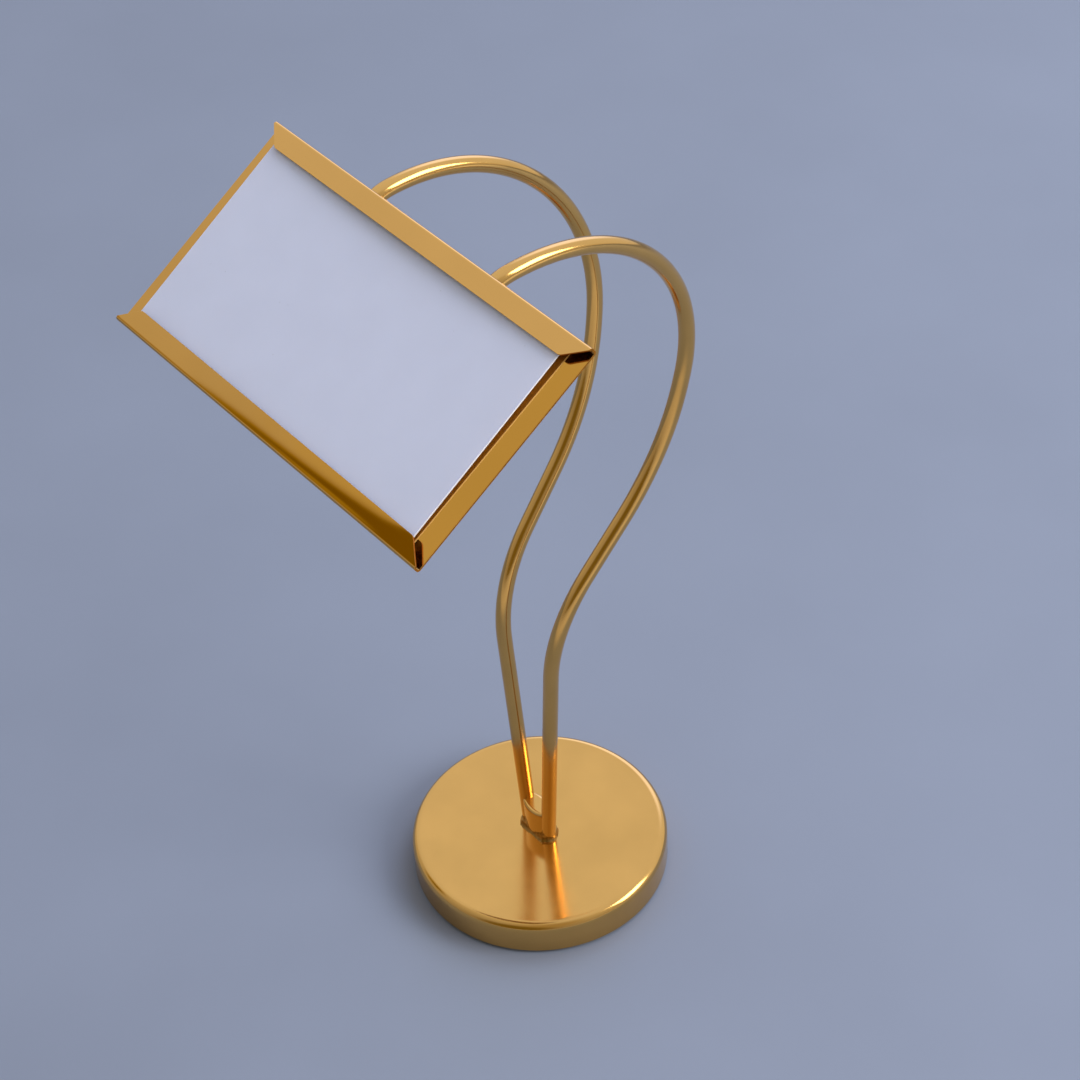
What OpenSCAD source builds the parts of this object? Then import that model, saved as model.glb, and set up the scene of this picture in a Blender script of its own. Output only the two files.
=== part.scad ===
// Place card holder: a weighted round base, two bent rods and a folded tray that holds a card.
// +X runs along the tray, -Y is the front and +Z is up. The origin is on the table, under the
// centre of the base. All sizes are in millimetres.

/* [Card] */
// Length of the card, along the tray
card_length = 90; // [60:1:120]
// Height of the card, across the tray
card_height = 50; // [35:1:70]
// Thickness of the card
card_t = 0.4; // [0.2:0.05:0.6]
// How far the card sits to the right of the tray's middle
card_shift = -1; // [-3:0.5:3]

/* [Tray] */
// How far the tray runs past the card at each end
end_room = 4.25; // [3:0.25:20]
// Thickness of the folded sheet
sheet_t = 0.45; // [0.4:0.05:0.8]
// Inside radius of each of the sheet's bends
fold_r = 0.25; // [0.1:0.05:0.3]
// Room between each face of the card and the channel
face_play = 0.55; // [0.25:0.05:0.7]
// Room between each long edge of the card and its fold
edge_play = 0.35; // [0.3:0.05:1]
// Width of each lip, measured from the fold's outer face
lip_w = 4.7; // [3:0.1:8]
// Radius on each lip's inner corner
lip_corner_r = 1.6; // [0.5:0.1:2]
// Slope of the tray above the horizontal, in degrees
tray_tilt = 31.8; // [20:0.1:45]

/* [Rods] */
// Diameter of each rod
rod_d = 3.6; // [3:0.1:4.5]
// How much thinner the rod is round a bend, which stretches it
bend_thin = 0.1; // [0.06:0.01:0.2]
// Distance between the rods' centres on top of the base
foot_pitch = 7; // [6.6:0.1:12]
// Outward lean of each rod, in degrees
rod_lean = 4.7; // [2:0.1:7]
// Length of the straight stem
stem_l = 59; // [50:1:90]
// Centre-line radius of the knee, which turns the rod backwards
knee_r = 42.5; // [20:0.5:50]
// Angle of the knee, in degrees
knee_a = 40.5; // [30:0.5:45]
// Length of the straight above the knee
link_l = 14.5; // [5:0.5:30]
// Centre-line radius of the long bow behind
bow_r = 68.5; // [55:0.5:90]
// Angle of the bow, in degrees
bow_a = 30; // [20:1:35]
// Length of the straight between the bow and the arch
crest_l = 2; // [1:0.5:6]
// Centre-line radius of the arch on top
arch_r = 46.7; // [35:0.1:55]
// Angle of the arch, in degrees
arch_a = 100; // [92:1:103]
// Length of the straight between the arch and the last bend
neck_l = 1.5; // [1:0.5:6]
// Centre-line radius of the last bend, which lays the rod on the tray's back
nose_r = 10; // [8:1:15]
// Length of rod that lies on the tray's back
tail_l = 22; // [15:1:30]
// Distance from the tray's upper edge down to the start of that length
tail_drop = 2.4; // [2:0.1:8]
// Depth of the flat that seats the rod on the tray's back
tail_flat = 0.2; // [0.1:0.05:0.4]

/* [Base] */
// Diameter of the base
base_d = 62; // [50:1:80]
// Height of the base's top above the table
base_h = 9.7; // [8.8:0.1:14]
// Radius on the base's top edge
base_round = 2.2; // [1.6:0.1:3]
// Thickness of the pressed shell
shell_t = 1; // [0.8:0.1:1.4]
// Gap under the shell's rim
rim_gap = 0.8; // [0.4:0.1:1.2]
// Thickness of the pad, which stands proud of the rim
pad_t = 1.6; // [1.3:0.1:2]
// Radial gap between the shell's inside and the weight and pad
fill_gap = 0.2; // [0.1:0.05:0.4]

/* [Fixings] */
// Diameter of the threaded stud at each rod's foot
stud_d = 3; // [2.5:0.1:3]
// Radial room round each stud
stud_play = 0.1; // [0.05:0.05:0.2]
// Size of each nut across its flats
nut_af = 5.5; // [5:0.1:5.5]
// Height of each nut
nut_h = 2.4; // [2:0.1:3]
// Thickness of each lock washer
washer_t = 0.7; // [0.5:0.1:0.9]
// Outside diameter of each lock washer
washer_d = 5.6; // [5:0.1:6]
// Thickness of the clamp plate under the weight
clamp_t = 1.2; // [1:0.1:1.6]
// Width of the clamp plate
clamp_w = 7; // [6.5:0.1:9]
// Room round the clamp plate in the weight's recess
clamp_play = 0.4; // [0.2:0.1:0.6]
// Length of stud below each nut
stud_tip = 0.4; // [0.2:0.1:0.6]
// Diameter of the spacer brazed between the rods' feet
spacer_d = 5.6; // [5:0.1:6.5]
// Height of the spacer
spacer_h = 9; // [6:0.5:15]
// Bevel round the spacer's top
spacer_bevel = 0.4; // [0.2:0.1:0.8]
// Radial gap that the brazing metal fills
braze_gap = 0.05; // [0.02:0.01:0.1]

/* [Solder] */
// Width of the solder at each side of a rod, on the tray's back
solder_w = 1.5; // [1:0.1:2]
// Height of the solder above the tray's back
solder_h = 1.1; // [0.8:0.1:1.4]
// Length of rod that the solder covers
solder_l = 16; // [10:1:20]

/* [Hidden] */
$fn = 96;
rod_r = rod_d / 2;
// Overrun that every cut takes past the faces that it leaves
over = rod_d / 4;
foot_x = foot_pitch / 2;

// The tray in its own frame: X along it, Y up its slope, Z out of its front
channel_gap = card_t + 2 * face_play;
tray_l = card_length + 2 * end_room;
wall_y = card_height / 2 + edge_play;
fold_y = wall_y - fold_r;
tray_h = 2 * (wall_y + sheet_t);
lip_in_y = tray_h / 2 - lip_w;
// Inset of each lip's mitred end, as a share of the lip's depth
mitre_share = 1.15;
lip_inset = mitre_share * (fold_y - lip_in_y);
// Gap to the back plate at the card's lower edge and to the upper lip at its upper edge
seat_gap = 0.05;
// Lean of the card away from the back plate
card_lean = asin(2 * (face_play - seat_gap) / card_height);

// Angle of the tail in the rod's own leaned plane, so that it lies flat on the tray
tail_tilt = atan(tan(tray_tilt) / cos(rod_lean));
nose_a = 90 + tail_tilt + knee_a - bow_a - arch_a;

// Headings along the rod, in degrees from upright towards the back
knee_g = 0;
link_g = knee_a;
arch_g = link_g - bow_a;
nose_g = arch_g - arch_a;
tail_g = nose_g - nose_a;

// Places along the rod in its own plane: distance back, then distance up from the base
function ahead(p, g, l) = p + l * [sin(g), cos(g)];
function past_back_bend(p, g, r, a) = p + r * [cos(g) - cos(g + a), sin(g + a) - sin(g)];
function past_front_bend(p, g, r, a) = p + r * [cos(g - a) - cos(g), sin(g) - sin(g - a)];
knee_p = [0, stem_l];
link_p = past_back_bend(knee_p, knee_g, knee_r, knee_a);
bow_p = ahead(link_p, link_g, link_l);
crest_p = past_front_bend(bow_p, link_g, bow_r, bow_a);
arch_p = ahead(crest_p, arch_g, crest_l);
neck_p = past_front_bend(arch_p, arch_g, arch_r, arch_a);
nose_p = ahead(neck_p, nose_g, neck_l);
tail_p = past_front_bend(nose_p, nose_g, nose_r, nose_a);

// The start of the right rod's tail in the part's frame
tail_x = foot_x + tail_p[1] * sin(rod_lean);
tail_y = tail_p[0];
tail_z = base_h + tail_p[1] * cos(rod_lean);
// From the tail's centre line to the tray's front face, then down to the tray's middle
seat_n = rod_r - tail_flat + sheet_t;
seat_u = tray_h / 2 - tail_drop;
tray_y = tail_y - seat_n * sin(tray_tilt) - seat_u * cos(tray_tilt);
tray_z = tail_z + seat_n * cos(tray_tilt) - seat_u * sin(tray_tilt);
// Turn of the tail in the tray's plane, which brings the rods together as they run down
tail_run_x = sin(rod_lean) * cos(tail_g);
tail_run_u = sin(tail_g) * cos(tray_tilt) + cos(rod_lean) * cos(tail_g) * sin(tray_tilt);
tail_yaw = atan(tail_run_x / tail_run_u);

// The base, counted up from the table
base_r = base_d / 2;
shell_in_r = base_r - shell_t;
shell_in_round = base_round - shell_t;
roof_z = base_h - shell_t;
fill_r = shell_in_r - fill_gap;
clamp_l = foot_pitch + clamp_w;
nut_r = nut_af / 2 / cos(30);
nut_z = pad_t + 2 * stud_tip;
washer_z = nut_z + nut_h;
clamp_z = washer_z + washer_t;
stud_low = nut_z - stud_tip;

// A disc with a rounded top edge
module rounded_disc(r, h, edge) {
    rotate_extrude() union() {
        square([r - edge, h]);
        square([r, h - edge]);
        translate([r - edge, h - edge]) intersection() {
            circle(edge);
            square(edge);
        }
    }
}

// A slot with round ends along X, centred, from z = 0 upwards
module slot(pitch, w, h) {
    for (side = [-1, 1]) translate([side * pitch / 2, 0, 0]) cylinder(d = w, h = h);
    translate([-pitch / 2, -w / 2, 0]) cube([pitch, w, h]);
}

// Its children at both rods' feet
module at_feet() {
    for (side = [-1, 1]) translate([side * foot_x, 0, 0]) children();
}

// The pressed shell: a shallow cup, open below, with two holes for the studs
module base_shell() {
    color("gold") difference() {
        translate([0, 0, rim_gap]) rounded_disc(base_r, base_h - rim_gap, base_round);
        translate([0, 0, rim_gap - over])
            rounded_disc(shell_in_r, roof_z - rim_gap + over, shell_in_round);
        at_feet() translate([0, 0, roof_z - over])
            cylinder(r = stud_d / 2 + stud_play, h = shell_t + 2 * over);
    }
}

// The iron weight that fills the shell, with a recess below for the fixings
module base_weight() {
    color("dimgray") difference() {
        translate([0, 0, pad_t]) rounded_disc(fill_r, roof_z - pad_t, shell_in_round);
        translate([0, 0, pad_t - over])
            slot(foot_pitch, clamp_w + 2 * clamp_play, clamp_z + clamp_t - pad_t + over);
        at_feet() translate([0, 0, pad_t])
            cylinder(r = stud_d / 2 + stud_play, h = roof_z - pad_t + over);
    }
}

// The soft pad that the base stands on
module base_pad() {
    color("darkslategray") cylinder(r = fill_r, h = pad_t);
}

// The plate that the nuts pull against
module clamp_plate() {
    color("silver") translate([0, 0, clamp_z]) difference() {
        slot(foot_pitch, clamp_w, clamp_t);
        at_feet() translate([0, 0, -over])
            cylinder(r = stud_d / 2 + stud_play, h = clamp_t + 2 * over);
    }
}

// A split washer between the nut and the clamp plate
module lock_washer() {
    translate([0, 0, washer_z]) difference() {
        cylinder(d = washer_d, h = washer_t);
        translate([0, 0, -over]) cylinder(r = stud_d / 2 + stud_play, h = washer_t + 2 * over);
        translate([-washer_t / 2, 0, -over]) cube([washer_t, washer_d, washer_t + 2 * over]);
    }
}

module lock_washer_left() color("silver") translate([-foot_x, 0, 0]) lock_washer();
module lock_washer_right() color("silver") translate([foot_x, 0, 0]) lock_washer();

// A hexagon nut, its thread left plain
module nut() {
    translate([0, 0, nut_z]) difference() {
        rotate(30) cylinder(r = nut_r, h = nut_h, $fn = 6);
        translate([0, 0, -over]) cylinder(r = stud_d / 2 + stud_play / 2, h = nut_h + 2 * over);
    }
}

module nut_left() color("silver") translate([-foot_x, 0, 0]) nut();
module nut_right() color("silver") translate([foot_x, 0, 0]) nut();

// A bend of rod that starts upright at the origin and turns by a towards the back. It runs a
// little way into the straight at either end.
module back_bend(r, a) {
    lap_a = atan(over / r);
    translate([0, r, 0]) rotate([90, 0, 90])
        rotate_extrude(angle = a + 2 * lap_a, start = 180 - a - lap_a)
            translate([r, 0]) circle(d = rod_d - bend_thin);
}

// The same bend, turning towards the front
module front_bend(r, a) mirror([0, 1, 0]) back_bend(r, a);

// A straight of rod that starts at the origin and runs upright
module straight(l) cylinder(d = rod_d, h = l);

// Its children at place p and heading g of the rod's plane
module on_rod(p, g) translate([0, p[0], p[1]]) rotate([-g, 0, 0]) children();

// The right rod's line in its own plane, from below the base's top to its tail
module rod_line() {
    translate([0, 0, -over]) straight(stem_l + over);
    on_rod(knee_p, knee_g) back_bend(knee_r, knee_a);
    on_rod(link_p, link_g) straight(link_l);
    on_rod(bow_p, link_g) front_bend(bow_r, bow_a);
    on_rod(crest_p, arch_g) straight(crest_l);
    on_rod(arch_p, arch_g) front_bend(arch_r, arch_a);
    on_rod(neck_p, nose_g) straight(neck_l);
    on_rod(nose_p, nose_g) front_bend(nose_r, nose_a);
    on_rod(tail_p, tail_g) straight(tail_l);
}

// Its children in the right rod's leaned plane
module in_lean() translate([foot_x, 0, base_h]) rotate([0, rod_lean, 0]) children();

// Its children in the tray's own frame
module in_tray() translate([0, tray_y, tray_z]) rotate([tray_tilt, 0, 0]) children();

// The right rod: cut square on the base and flat on the tray's back, with its stud below
module rod() {
    difference() {
        in_lean() rod_line();
        translate([0, -rod_d, base_h - rod_d]) cube([2 * foot_pitch, 2 * rod_d, rod_d]);
        in_tray() translate([0, 0, -sheet_t])
            translate([0, -tray_h / 2, 0]) cube([tray_l / 2, tray_h + nose_r, rod_d]);
    }
    translate([foot_x, 0, stud_low]) cylinder(d = stud_d, h = base_h + rod_r - stud_low);
}

module rod_right() color("goldenrod") rod();
module rod_left() color("goldenrod") mirror([1, 0, 0]) rod();

// The spacer between the feet, hollowed at each side to hug the leaning rods
module foot_spacer() {
    color("darkgoldenrod") difference() {
        translate([0, 0, base_h]) {
            cylinder(d = spacer_d, h = spacer_h - spacer_bevel);
            translate([0, 0, spacer_h - spacer_bevel])
                cylinder(d1 = spacer_d, d2 = spacer_d - 2 * spacer_bevel, h = spacer_bevel);
        }
        for (side = [0, 1]) mirror([side, 0, 0]) in_lean() translate([0, 0, -rod_r])
            cylinder(r = rod_r + braze_gap, h = spacer_h + rod_d);
    }
}

// Points of an arc about c from angle a0 to a1
function arc(c, r, a0, a1, n) = [for (i = [0:n]) let (a = a0 + (a1 - a0) * i / n) c + r * [cos(a), sin(a)]];

// A lip's outline, with mitred ends and rounded inner corners
arc_steps = 8;
mitre_a = atan2(fold_y - lip_in_y, lip_inset);
// From the sharp inner corner to where the round begins, along either edge
corner_run = lip_corner_r * tan(mitre_a / 2);
corner_c = [tray_l / 2 - lip_inset - corner_run, lip_in_y + lip_corner_r];
module lip_outline() {
    right_round = arc(corner_c, lip_corner_r, -90, mitre_a - 90, arc_steps);
    left_round = [for (i = [arc_steps:-1:0]) [-right_round[i][0], right_round[i][1]]];
    polygon(concat(left_round, right_round, [[tray_l / 2, fold_y], [-tray_l / 2, fold_y]]));
}

// Section of a square bend in the sheet
module bend_section() {
    intersection() {
        difference() {
            circle(fold_r + sheet_t);
            circle(fold_r);
        }
        square(fold_r + sheet_t);
    }
}

// The upper edge of the sheet, folded over: two bends with a short wall between, and the lip
module upper_fold() {
    translate([-tray_l / 2, fold_y, 0]) rotate([90, 0, 90]) linear_extrude(tray_l) {
        translate([0, fold_r]) mirror([0, 1]) bend_section();
        translate([fold_r, fold_r]) square([sheet_t, channel_gap - 2 * fold_r]);
        translate([0, channel_gap - fold_r]) bend_section();
    }
    translate([0, 0, channel_gap]) linear_extrude(sheet_t) lip_outline();
}

// The tray: one sheet folded along both long edges, open at both ends
module tray() {
    color("gold") in_tray() {
        translate([-tray_l / 2, -fold_y, -sheet_t]) cube([tray_l, 2 * fold_y, sheet_t]);
        upper_fold();
        mirror([0, 1, 0]) upper_fold();
    }
}

// Solder along both sides and round the end of the right rod's tail
module solder() {
    wide = rod_r + solder_w;
    narrow = rod_r + solder_w / 4;
    difference() {
        in_tray() translate([tail_x, tray_h / 2 - tail_drop, -sheet_t]) rotate(-tail_yaw)
            translate([0, solder_l - tail_l, 0]) rotate([90, 0, 0])
                linear_extrude(solder_l + solder_w)
                    polygon([[-wide, 0], [wide, 0], [narrow, -solder_h], [-narrow, -solder_h]]);
        in_lean() on_rod(tail_p, tail_g) translate([0, 0, -over])
            cylinder(r = rod_r + braze_gap, h = tail_l + over + braze_gap);
    }
}

module solder_right() color("peru") solder();
module solder_left() color("peru") mirror([1, 0, 0]) solder();

// The card, which leans from the back plate at its lower edge to the lip at its upper edge
module place_card() {
    color("white") in_tray()
        translate([card_shift - card_length / 2, -(card_height + edge_play) / 2, seat_gap])
            rotate([card_lean, 0, 0]) cube([card_length, card_height, card_t]);
}

base_shell();
base_weight();
base_pad();
clamp_plate();
lock_washer_left();
lock_washer_right();
nut_left();
nut_right();
rod_left();
rod_right();
foot_spacer();
tray();
solder_left();
solder_right();
place_card();
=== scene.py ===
"""A gilt place card holder: a weighted round base, two bent rods and a folded tray for a card.

It is laid out as an add-on and run as a script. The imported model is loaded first, as a fixed
frame, and the pieces are built in the same place and in metres.
"""

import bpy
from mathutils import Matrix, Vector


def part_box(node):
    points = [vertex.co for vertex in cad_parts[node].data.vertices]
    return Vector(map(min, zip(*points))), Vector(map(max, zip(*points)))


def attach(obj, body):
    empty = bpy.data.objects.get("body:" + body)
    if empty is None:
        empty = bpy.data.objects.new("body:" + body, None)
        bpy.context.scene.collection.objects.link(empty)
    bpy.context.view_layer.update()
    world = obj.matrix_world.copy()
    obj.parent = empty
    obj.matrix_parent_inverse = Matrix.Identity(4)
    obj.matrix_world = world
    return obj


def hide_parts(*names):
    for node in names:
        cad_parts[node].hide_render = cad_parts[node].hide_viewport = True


bl_info = {
    "name": "Place Card Holder",
    "version": (1, 0, 0),
    "blender": (4, 5, 0),
    "location": "3D Viewport > Sidebar > Card Holder",
    "description": "Builds a gilt place card holder with bent rods, a folded tray and its card",
    "category": "Add Mesh",
}

import math

import bmesh
import bpy
from bpy.props import FloatProperty, FloatVectorProperty, PointerProperty
from mathutils import Matrix, Vector

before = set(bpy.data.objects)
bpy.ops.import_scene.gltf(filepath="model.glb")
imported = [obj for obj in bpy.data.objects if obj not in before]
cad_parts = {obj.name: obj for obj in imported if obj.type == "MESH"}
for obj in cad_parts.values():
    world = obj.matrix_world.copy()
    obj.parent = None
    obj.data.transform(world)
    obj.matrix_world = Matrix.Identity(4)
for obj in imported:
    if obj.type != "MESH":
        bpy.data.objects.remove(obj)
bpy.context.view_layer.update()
MM = 0.001
SIDES = {"left": -1, "right": 1}


def linear(code):
    """The linear colour of an sRGB hex value such as #D9A441."""
    shares = [int(code[i:i + 2], 16) / 255 for i in (1, 3, 5)]
    return [s / 12.92 if s <= 0.04045 else ((s + 0.055) / 1.055) ** 2.4 for s in shares]


def length(name, description, millimetres):
    """A length that the panel shows, kept in metres."""
    return FloatProperty(name=name, description=description, default=millimetres * MM,
                         min=0, precision=5, unit="LENGTH")


def angle(name, description, degrees):
    """An angle that the panel shows, kept in radians."""
    return FloatProperty(name=name, description=description, default=math.radians(degrees),
                         precision=3, unit="ROTATION")


def colour(name, description, code):
    """A colour that the panel shows, written as an sRGB hex value."""
    return FloatVectorProperty(name=name, description=description, default=linear(code),
                               size=3, min=0, max=1, subtype="COLOR")


def box_size(node, axis):
    """How far a node of the frame reaches along an axis, in millimetres."""
    low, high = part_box(node)
    return (high[axis] - low[axis]) / MM


class RodSizes(bpy.types.PropertyGroup):
    """Sizes of the two bent rods."""

    diameter: length("Diameter", "Diameter of each rod", 3.6)
    pitch: length("Foot pitch", "Distance between the rods' centres on the base", 7)
    lean: angle("Lean", "How far each rod leans outwards", 4.7)
    stem: length("Stem", "Length of the straight stem", 59)
    knee_r: length("Knee radius", "Radius of the knee, which turns the rod backwards", 42.5)
    knee_a: angle("Knee angle", "Turn of the knee", 40.5)
    link: length("Link", "Length of the straight above the knee", 14.5)
    bow_r: length("Bow radius", "Radius of the long bow behind", 68.5)
    bow_a: angle("Bow angle", "Turn of the bow", 30)
    crest: length("Crest", "Straight between the bow and the arch", 2)
    arch_r: length("Arch radius", "Radius of the arch on top", 46.7)
    arch_a: angle("Arch angle", "Turn of the arch", 100)
    neck: length("Neck", "Straight between the arch and the last bend", 1.5)
    nose_r: length("Nose radius", "Radius of the last bend, behind the tray", 10)
    tail: length("Tail", "Length of rod that lies on the tray's back", 22)
    tail_drop: length("Tail drop", "From the tray's upper edge to the start of the tail", 2.4)
    tail_flat: length("Tail flat", "Depth of the flat that seats the rod on the tray", 0.2)
    ease: length("Ease", "Length over which each bend eases in and out", 3)
    stud: length("Stud diameter", "Diameter of the threaded stud below each rod", 3)
    stud_low: length("Stud end", "Height of the stud's lower end above the table", 2)


class TraySizes(bpy.types.PropertyGroup):
    """Sizes of the folded tray."""

    length: length("Length", "Length of the tray, along the card", box_size("tray", 0))
    height: length("Height", "Height of the tray, up its slope", 51.6)
    tilt: angle("Slope", "Slope of the tray above the horizontal", 31.8)
    sheet: length("Sheet", "Thickness of the folded sheet", 0.45)
    fold_r: length("Fold radius", "Inside radius of each of the sheet's bends", 0.25)
    channel: length("Channel", "Gap between the back plate and the lips", 1.5)
    lip: length("Lip width", "Width of each lip, from the fold's outer face", 4.7)
    corner_r: length("Corner radius", "Radius on each lip's inner corner", 1.6)
    edge_r: length("Edge round", "Rounding that polishing leaves on the sheet's edges", 0.1)
    flare: length("Flare", "How far the upper lip's free edge stands off the card", 0.2)
    sag: length("Sag", "How far the lower fold sags at its right end", 0.38)
    solder: length("Solder width", "Width of the solder at each side of a tail", 1.5)
    solder_h: length("Solder height", "Height of the solder above the tray's back", 1.1)
    solder_l: length("Solder length", "Length of rod that the solder covers", 16)


class BaseSizes(bpy.types.PropertyGroup):
    """Sizes of the round base."""

    diameter: length("Diameter", "Diameter of the base", box_size("base_shell", 0))
    top: length("Height", "Height of the base's top above the table", 9.7)
    shell: length("Shell", "Thickness of the pressed shell", 1)
    rim: length("Rim gap", "Gap under the shell's rim", 0.8)
    edge: length("Edge radius", "Radius on the base's top edge", 2.2)
    pad: length("Pad", "Thickness of the foam pad", 1.6)
    gap: length("Gap", "Gap between the shell's inside and the pad", 0.2)


class CardSizes(bpy.types.PropertyGroup):
    """Sizes of the card in the tray."""

    length: length("Length", "Length of the card", 90)
    height: length("Height", "Height of the card", 50)
    thickness: length("Thickness", "Thickness of the card", 0.4)
    shift: length("Shift", "How far the card sits to the left of the tray's middle", 1)
    seat: length("Seat gap", "Gap between the card and the sheet that it leans on", 0.05)
    below: length("Lower gap", "Gap between the card's lower edge and the fold", 0.175)


class Finishes(bpy.types.PropertyGroup):
    """Colours of the finishes."""

    gilt: colour("Gilding", "Gold plate on the rods and the base", "#E3B164")
    sheet: colour("Sheet gilding", "Gold plate on the tray's mirror-polished sheet", "#E3AE5F")
    solder: colour("Solder", "Gold plate over the solder", "#CFA765")
    card: colour("Card", "Smooth uncoated board", "#C6CEE7")
    # The card core colour is painted light: the cut edges render brighter than the faces
    core: colour("Card core", "Bare core of the board at its cut edges", "#F7F7FA")
    through: colour("Light through the card", "What the board lets through", "#8E7C45")
    foam: colour("Foam", "Foam pad under the base", "#1B1B1D")
    enamel: colour("Enamel", "Black paint on the iron weight", "#2A2B2D")
    zinc: colour("Zinc", "Bright zinc plate on the fixings", "#C3C8CC")
    table: colour("Table", "Floor round the holder", "#7E8492")
    # The front of the table colour is a painted pool of light on the floor
    front: colour("Front of the table", "The floor well in front of the holder", "#B6B3AF")


class HolderSettings(bpy.types.PropertyGroup):
    """All the sizes and colours of the card holder."""

    rods: PointerProperty(type=RodSizes)
    tray: PointerProperty(type=TraySizes)
    base: PointerProperty(type=BaseSizes)
    card: PointerProperty(type=CardSizes)
    finish: PointerProperty(type=Finishes)


# Meshes

def skin(bm, rings):
    """Joins rings of points, one after another, into a capped tube with UVs in metres."""
    uv = bm.loops.layers.uv.verify()
    rows = [[bm.verts.new(p) for p in ring] for ring in rings]
    count = len(rows[0])
    along = 0
    for low, high in zip(rows, rows[1:]):
        step = (high[0].co - low[0].co).length
        around = 0
        for j in range(count):
            k = (j + 1) % count
            width = (low[k].co - low[j].co).length
            face = bm.faces.new((low[j], low[k], high[k], high[j]))
            places = ((around, along), (around + width, along),
                      (around + width, along + step), (around, along + step))
            for loop, place in zip(face.loops, places):
                loop[uv].uv = place
            around += width
        along += step
    bm.faces.new(rows[0][::-1])
    bm.faces.new(rows[-1])


def lathe(bm, profile, steps):
    """Turns a profile of (radius, height) points about Z. A radius of zero closes on the axis."""
    uv = bm.loops.layers.uv.verify()
    turns = [2 * math.pi * i / steps for i in range(steps)]
    rows = []
    for r, z in profile:
        if r == 0:
            rows.append([bm.verts.new((0, 0, z))] * steps)
        else:
            rows.append([bm.verts.new((r * math.cos(t), r * math.sin(t), z)) for t in turns])
    along = 0
    for (r0, z0), (r1, z1), low, high in zip(profile, profile[1:], rows, rows[1:]):
        step = math.hypot(r1 - r0, z1 - z0)
        for j in range(steps):
            k = (j + 1) % steps
            corners = []
            for vert in (low[j], low[k], high[k], high[j]):
                if vert not in corners:
                    corners.append(vert)
            if len(corners) < 3:
                continue
            face = bm.faces.new(corners)
            for loop in face.loops:
                radius = math.hypot(loop.vert.co.x, loop.vert.co.y)
                loop[uv].uv = (j * 2 * math.pi * radius / steps, along)
        along += step


def skin_sheet(bm, front, back, cut_slot):
    """Joins two grids of vertices into a sheet, whose cut edges take a material slot of their
    own. Gives back the rows of faces on the front."""
    rows, columns = len(front), len(front[0])
    faces = []
    for i in range(rows - 1):
        line = []
        for j in range(columns - 1):
            ahead = ((i, j), (i, j + 1), (i + 1, j + 1), (i + 1, j))
            behind = ((i, j), (i + 1, j), (i + 1, j + 1), (i, j + 1))
            line.append(bm.faces.new([front[p][q] for p, q in ahead]))
            bm.faces.new([back[p][q] for p, q in behind])
        faces.append(line)
    edges = [((i, j), (i + 1, j)) for i in range(rows - 1) for j in (0, columns - 1)]
    edges += [((i, j), (i, j + 1)) for i in (0, rows - 1) for j in range(columns - 1)]
    for (i, j), (p, q) in edges:
        cut = bm.faces.new((front[i][j], front[p][q], back[p][q], back[i][j]))
        cut.material_index = cut_slot
    bmesh.ops.recalc_face_normals(bm, faces=bm.faces)
    return faces


def round_edges(bm, width, steps):
    """Rounds or breaks all the sharp edges of a sheet. The new faces take the first material."""
    sharp = math.radians(60)
    rim = [e for e in bm.edges if len(e.link_faces) == 2 and e.calc_face_angle(0) > sharp]
    bmesh.ops.bevel(bm, geom=rim, offset=width, segments=steps, profile=0.5, affect="EDGES",
                    clamp_overlap=True, material=0)


def arc(centre, radius, start, stop, steps):
    """Points of an arc in a plane, from angle start to angle stop, in degrees."""
    turns = [math.radians(start + (stop - start) * i / steps) for i in range(steps + 1)]
    return [(centre[0] + radius * math.cos(t), centre[1] + radius * math.sin(t)) for t in turns]


def finished(name, bm, body, node, materials, smooth_angle=40):
    """Makes the bmesh an object that rides a body, stands for a node and shades smoothly."""
    bmesh.ops.recalc_face_normals(bm, faces=bm.faces)
    for face in bm.faces:
        face.smooth = True
    for edge in bm.edges:
        if len(edge.link_faces) == 2:
            edge.smooth = edge.calc_face_angle(0) < math.radians(smooth_angle)
    mesh = bpy.data.meshes.new(name)
    bm.to_mesh(mesh)
    bm.free()
    piece = bpy.data.objects.new(name, mesh)
    bpy.context.scene.collection.objects.link(piece)
    for made in materials:
        mesh.materials.append(made)
    shading = piece.modifiers.new("weighted_normals", "WEIGHTED_NORMAL")
    shading.keep_sharp = True
    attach(piece, body)
    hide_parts(node)


# The rods' line and the tray's place, which follows from it

def nose_turn(rods, tray):
    """Turn of the last bend, which lays the tail flat on the tray's back."""
    tail_tilt = math.atan(math.tan(tray.tilt) / math.cos(rods.lean))
    return math.pi / 2 + tail_tilt + rods.knee_a - rods.bow_a - rods.arch_a


def rod_runs(rods, tray):
    """Length and turn of each run of a rod. A turn towards the back counts as positive."""
    nose = nose_turn(rods, tray)
    return (
        (rods.stem, 0),
        (rods.knee_r * rods.knee_a, rods.knee_a),
        (rods.link, 0),
        (rods.bow_r * rods.bow_a, -rods.bow_a),
        (rods.crest, 0),
        (rods.arch_r * rods.arch_a, -rods.arch_a),
        (rods.neck, 0),
        (rods.nose_r * nose, -nose),
        (rods.tail, 0),
    )


def heading(runs, place, ease):
    """Heading of the rod at a place along it, from upright towards the back, eased at bends.
    It is the mean of some samples round that place."""
    samples = 7
    total = 0
    for i in range(samples):
        rest = place + ease * (i / (samples - 1) - 0.5)
        for run, turn in runs:
            total += turn * min(max(rest / run, 0), 1)
            rest -= run
    return total / samples


def rod_walk(rods, tray, ease):
    """Places along the rod: distance, distance back, height above the base and heading."""
    runs = rod_runs(rods, tray)
    end = sum(run for run, turn in runs)
    steps = 1200
    step = end / steps
    back, up = 0.0, 0.0
    walk = [(0.0, back, up, 0.0)]
    for i in range(steps):
        g = heading(runs, (i + 0.5) * step, ease)
        back += step * math.sin(g)
        up += step * math.cos(g)
        walk.append(((i + 1) * step, back, up, heading(runs, (i + 1) * step, ease)))
    return walk


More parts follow.
